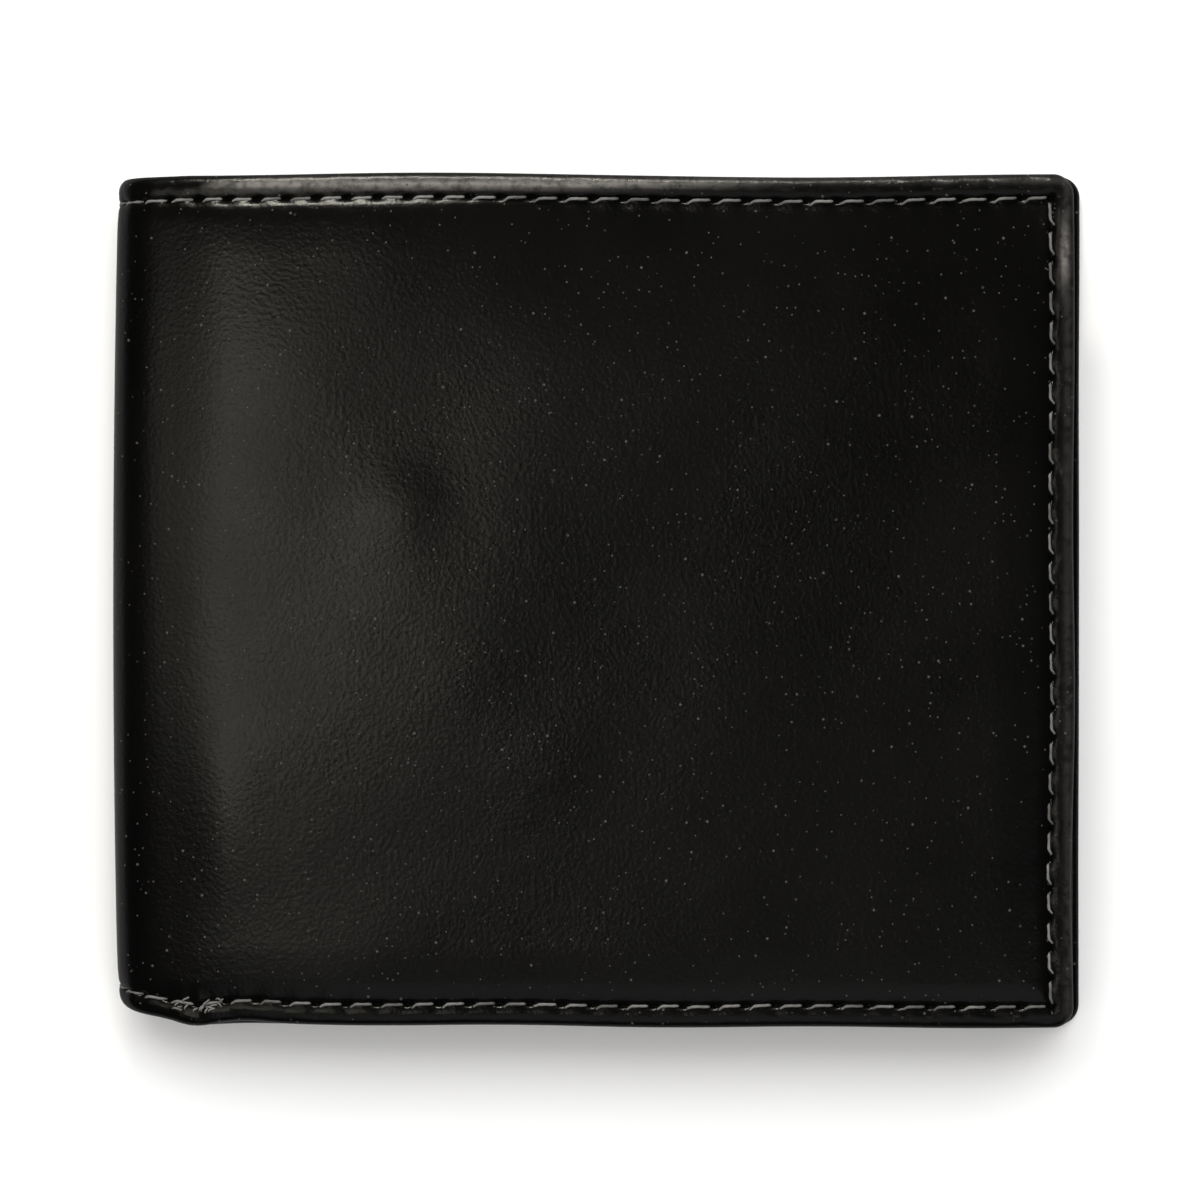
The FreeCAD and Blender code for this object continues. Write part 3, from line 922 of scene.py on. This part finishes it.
def layer_runs(end_x, roll):
    """Runs of a wrapped layer's grid lines out to its end, closer together near the fold."""
    end = FLAT + end_x - FOLD_X
    lines = [QUARTER, QUARTER + 0.03] + spaced(QUARTER + 0.4, FLAT + 4, 0.4)
    lines += spaced(FLAT + 5, end, 2.0) + [end - distance for distance in rounded(roll, 4)]
    return in_order(lines)


def make_wrapped_layer(layer, rises, outer, inner, material, roll):
    """Makes a layer's four pieces, each lying across one hinge, and returns them."""
    middle = in_order([0.0, 0.03] + spaced(0.4, QUARTER - 0.4, 0.4) + [QUARTER - 0.03, QUARTER])
    stands_for = (["back"], ["fold_lower"], ["fold_middle", "fold_upper"], ["front"])
    pieces = []
    for number, ((place, leaf, start), nodes) in enumerate(zip(WRAPPED, stands_for)):
        runs = layer_runs(corner_mm(f"{layer}_{leaf}", 1).x, roll) if start else middle
        piece = wrapped_sheet(f"{layer}_{place}", leaf, runs, rises, outer, inner, material, roll)
        bend(piece, number)
        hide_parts(*(f"{layer}_{node}" for node in nodes))
        pieces.append(piece)
    return pieces


def make_bill_wall():
    """The leather panel between the bill compartment and the card pockets."""
    thick = WALL_DEPTH - LIP_DEPTH - LAYER_GAP

    def outer(run, rise):
        fine = 0.09 * ripple(run, 0.2 * rise, 2.6, 81) + 0.06 * ripple(run, rise, 9, 82)
        return LIP_DEPTH + LAYER_GAP + np.maximum(0, fine) * bell(run, 9.0)

    def inner(run, rise):
        return outer(run, rise) + thick

    make_wrapped_layer("bill_wall", (PANEL_FOOT, WALL_HEAD), outer, inner,
                       INNER_LEATHER, 0.2)


def make_lining():
    """The cloth inside the cover, which lies on the stiffeners and on bare leather in the fold."""
    def outer(run, rise):
        return HIDE + 0.02 + (LINING_DEPTH[0] - HIDE) * smooth(np.abs(run), FLAT - 0.6, FLAT)

    def inner(run, rise):
        return outer(run, rise) + 0.12 + 0.02 * (1 + ripple(run, rise, 5, 91))

    pieces = make_wrapped_layer("lining", (-LINING_HALF, LINING_HALF), outer, inner,
                                LINING_CLOTH, 0.05)


# ---------------------------------------------------------------- pockets

def axis_points(low, high, step, roll, extra=()):
    """Grid lines from low to high, closer together at both rounded edges and at the extra lines."""
    lines = spaced(low, high, step) + [line for line in extra if low < line < high]
    for distance in rounded(roll, 4):
        lines += [low + distance, high - distance]
    return in_order(lines)


def node_extent(node, leaf):
    """A flat node's lowest and highest x, y and depth."""
    low, high = corner_mm(node, 0), corner_mm(node, 1)
    depth = (low.z, high.z) if leaf == "back" else (THICK - high.z, THICK - low.z)
    return (low.x, high.x), (low.y, high.y), depth


def seam_columns(leaf):
    """Grid lines in x that give the needle holes of the foot seam and both upright seams room."""
    lines = [hole - FLAT + FOLD_X + part for hole in seam_holes(leaf) for part in (-0.3, 0, 0.3)]
    for run in (SPINE_SEAM, SEAM_RUN[leaf]):
        lines += [run - FLAT + FOLD_X + part for part in (-0.8, -0.4, -0.2, 0, 0.2, 0.4, 0.8)]
    return lines


def seam_rows():
    """Grid lines in y that give the needle holes of the upright seams and the foot seam room."""
    lines = [SEAM_FOOT + number * SIDE_PITCH + part
             for number in range(SIDE_PITCHES + 1) for part in (-0.3, 0, 0.3)]
    return lines + [SEAM_FOOT + part for part in (-0.8, -0.4, -0.2, 0, 0.2, 0.4, 0.8)]


def pressed_by_seams(leaf):
    """Relief of the inner seams on a leaf's flat leather: their dent and their needle holes."""
    def relief(x, rise):
        run = x - FOLD_X + FLAT
        foot = rise - SEAM_FOOT
        last = seam_holes(leaf)[-1]
        row_phase = (run - last + PITCH / 2) % PITCH - PITCH / 2
        side_phase = (foot + SIDE_PITCH / 2) % SIDE_PITCH - SIDE_PITCH / 2
        total = np.zeros(np.broadcast(x, rise).shape)
        for distance, phase in ((foot, row_phase), (run - SEAM_RUN[leaf], side_phase),
                                (run - SPINE_SEAM, side_phase)):
            dent = 0.10 * bell(distance, 0.4) + 0.08 * bell(distance, 1.3)
            total = np.maximum(total, dent + 0.2 * bell(distance, 0.28) * bell(phase, 0.32))
        return total
    return relief


def slab(leaf, extent, roll, step=2.5, relief=None, lines=((), ()), bow=0.0):
    """Points and faces of a leaf's flat piece with rounded edges.

    relief says how far the inner face is pressed down, and bow how far the upper edge sags.
    """
    across, up, depth = extent
    columns = axis_points(*across, step, roll, lines[0])
    rows = axis_points(*up, step, roll, lines[1])
    x, y = np.meshgrid(columns, rows, indexing="ij")
    edge = np.minimum(np.minimum(x - across[0], across[1] - x), np.minimum(y - up[0], up[1] - y))
    drop = round_over(edge, roll, (depth[1] - depth[0]) / 2)
    outer, inner = depth[0] + drop, depth[1] - drop
    if relief is not None:
        pressed = inner - relief(x, y) * smooth(edge, 0, 2 * roll)
        inner = np.maximum(pressed, outer + 0.02 * smooth(edge, 0, roll))
    middle = 1 - ((2 * x - across[0] - across[1]) / (across[1] - across[0])) ** 2
    shift = bow * np.maximum(middle, 0) * smooth(y, up[1] - 8, up[1])
    return x, y - shift, outer, inner, leaf_place(leaf)


def flat_piece(name, leaf, slabs, material, slot):
    """One object from one or more slabs, which rides on its leaf and stands for the named node."""
    points, faces, start = [], [], 0
    for slab_grid in slabs:
        more_points, more_faces = sheet_mesh(*slab_grid, start)
        points.append(more_points)
        faces.append(more_faces)
        start += len(more_points)
    stuff = {"inner_leather": "leather", "lining_cloth": "cloth", "stiffener": "board"}[slot]
    faces = np.concatenate(faces).tolist()
    piece = new_object(f"{stuff}_{name}", np.concatenate(points), faces, material)
    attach(piece, f"{leaf}_leaf")
    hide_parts(name)
    return piece


def facing_relief(leaf, mouth, seed):
    """Relief of a pocket's face: its seams, the creased line below its mouth and slight waves."""
    dents = pressed_by_seams(leaf)

    def relief(x, y):
        crease = 0.10 * bell(y - mouth + 1.5, 0.2)
        waves = 0.04 * (1 + ripple(x, y, 26, seed)) + 0.015 * ripple(x, 2 * y, 7, seed + 1)
        return dents(x, y) + crease + np.maximum(waves, 0)
    return relief


def make_facings(leaf):
    """The leather faces of the card pockets and the band above them."""
    bows = {"card_facing_lower": 0.35, "card_facing_middle": 0.25,
            "card_facing_top": 0.2, "top_band": 0.0}
    for seed, (layer, bow) in enumerate(bows.items(), 101 if leaf == "back" else 111):
        name = f"{layer}_{leaf}"
        extent = node_extent(name, leaf)
        mouth = extent[1][1]
        crease = [mouth - 1.5 + part for part in (-0.4, -0.2, 0, 0.2, 0.4)]
        lines = (seam_columns(leaf), seam_rows() + crease)
        grid = slab(leaf, extent, 0.22, 1.2, facing_relief(leaf, mouth, seed), lines, bow)
        flat_piece(name, leaf, [grid], INNER_LEATHER, "inner_leather")


def leather_layers(extent, random):
    """A thick edge as thin layers of leather, whose cut sides don't quite line up."""
    across, up, depth = extent
    count = max(1, round((depth[1] - depth[0]) / 0.4))
    step = (depth[1] - depth[0]) / count
    layers = []
    for number in range(count):
        low = depth[0] + number * step
        cut = random.uniform(0, 0.18, 4)
        layers.append(((across[0] + cut[0], across[1] - cut[1]), (up[0] + cut[2], up[1] - cut[3]),
                       (low, low + step - LAYER_GAP)))
    return layers


def slot_levels(leaf):
    """Depths and upper ends of the steps that carry the three card facings."""
    bottom = node_extent(f"slot_backing_{leaf}", leaf)[2][1]
    levels = []
    for layer in ("card_facing_top", "card_facing_middle", "card_facing_lower"):
        up, depth = node_extent(f"{layer}_{leaf}", leaf)[1:]
        levels.append((bottom, depth[0], up[1]))
        bottom = depth[0]
    return levels


def make_edges(leaf):
    """The built-up edges round the slip pocket and the card slots."""
    random = np.random.default_rng(121 if leaf == "back" else 122)
    names = ["slip_edge_lower", "slip_edge_upper", "slip_edge_side"]
    names += ["slot_edge_inner", "slot_edge_outer", "slot_edge_foot"]
    for name in (f"{part}_{leaf}" for part in names):
        across, up, depth = node_extent(name, leaf)
        blocks = [(across, up, depth)]
        if name.startswith("slot_edge"):
            blocks = [(across, (up[0], min(head, up[1])), (low, high))
                      for low, high, head in slot_levels(leaf)]
        layers = [layer for block in blocks for layer in leather_layers(block, random)]
        grids = [slab(leaf, layer, 0.14) for layer in layers]
        flat_piece(name, leaf, grids, INNER_LEATHER, "inner_leather")


def make_pocket_cloths(leaf):
    """The cloth behind the card slots and behind each upper card."""
    rests = {"slot_backing": "slip_edge_side", "pocket_cloth_top": "slot_edge_outer",
             "pocket_cloth_middle": "slot_edge_outer"}
    for seed, (layer, rest) in enumerate(rests.items(), 131):
        name = f"{layer}_{leaf}"
        across, up, depth = node_extent(name, leaf)
        extent = (across, up, (depth[0] + LAYER_GAP / 2, depth[1] - LAYER_GAP / 2))
        grid = slab(leaf, extent, 0.05, relief=lambda x, y: 0.02 * (1 + ripple(x, y, 12, seed)))
        piece = flat_piece(name, leaf, [grid], LINING_CLOTH, "lining_cloth")


def make_stiffener(leaf):
    """The board inside one leaf of the cover."""
    name = f"stiffener_{leaf}"
    across, up, depth = node_extent(name, leaf)
    extent = (across, up, (depth[0] + LAYER_GAP, depth[1] - LAYER_GAP))
    flat_piece(name, leaf, [slab(leaf, extent, 0.1)], BOARD, "stiffener")


# ---------------------------------------------------------------- run

make_camera()
make_lights()
make_world()
make_floor()
make_cover()
make_seam()
make_lining()
make_bill_wall()
for leaf in EDGE:
    make_stiffener(leaf)
    make_edges(leaf)
    make_pocket_cloths(leaf)
    make_facings(leaf)
make_inner_seam()
